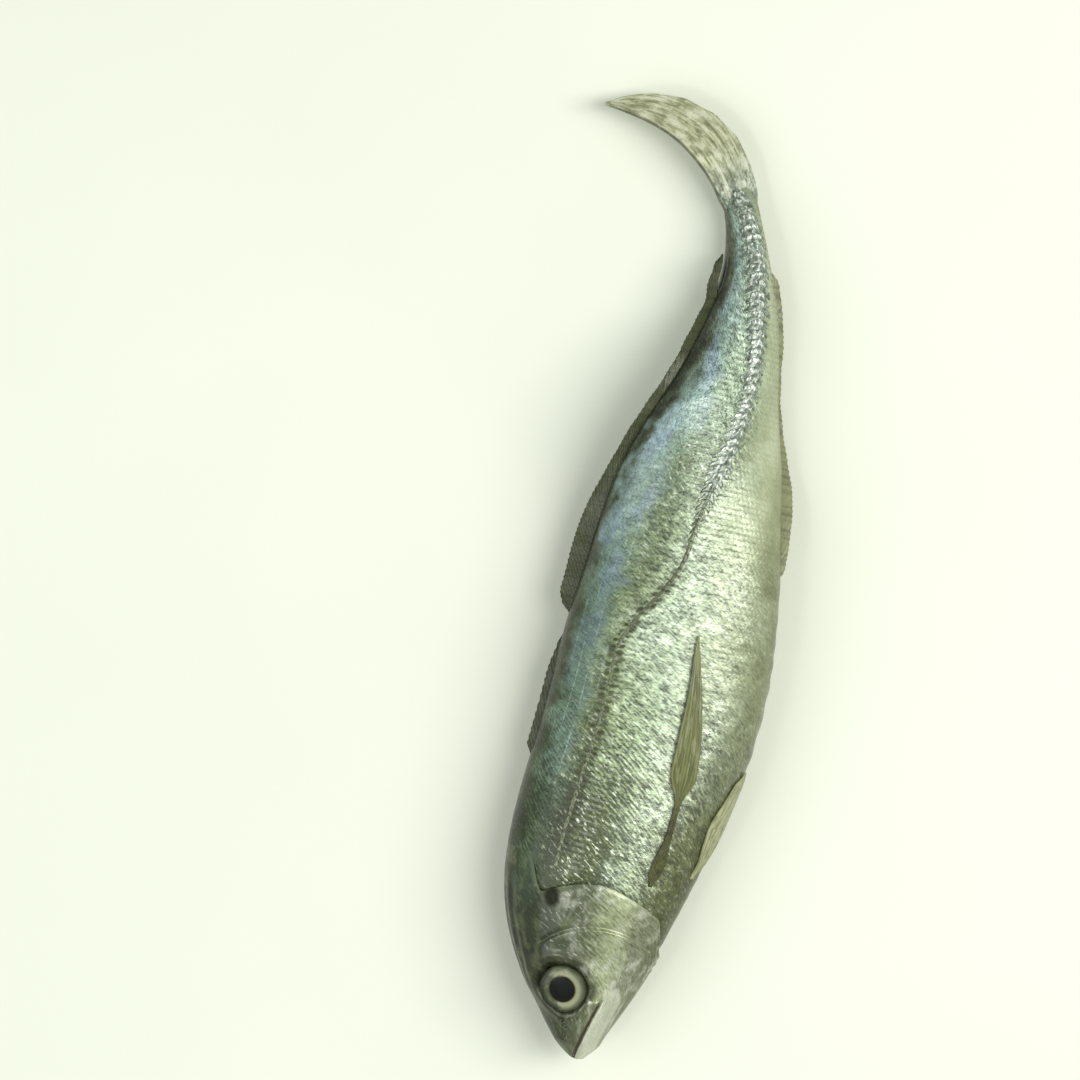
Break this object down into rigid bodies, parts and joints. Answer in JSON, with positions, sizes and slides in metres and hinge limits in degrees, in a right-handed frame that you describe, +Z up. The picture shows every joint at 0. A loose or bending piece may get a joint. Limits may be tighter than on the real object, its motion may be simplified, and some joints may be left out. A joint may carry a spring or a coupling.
{
  "type": "whole raw fish",
  "caption": "Whole raw horse mackerel with head, scutes and folded fins, lying on its right flank with the tail swept aside.",
  "frame": {"origin": "centre of the bounding box at its base, in the plane the fish rests on", "axes": "+Z up out of the left flank; +Y from head to tail; the back is on the -X side and the belly on the +X side"},
  "size_m": [0.0784, 0.2614, 0.0325],
  "materials": {
    "skin": "wet silver skin with fine scales, blue-green along the back, dark spot on the gill cover",
    "fin": "thin olive-brown membrane with rays, slightly see-through",
    "eye": "wet clear eye, silver iris, black pupil",
    "mouth": "moist, dull pinkish grey"
  },
  "bodies": {
    "root": {"fish": "skin"}
  },
  "joints": []
}
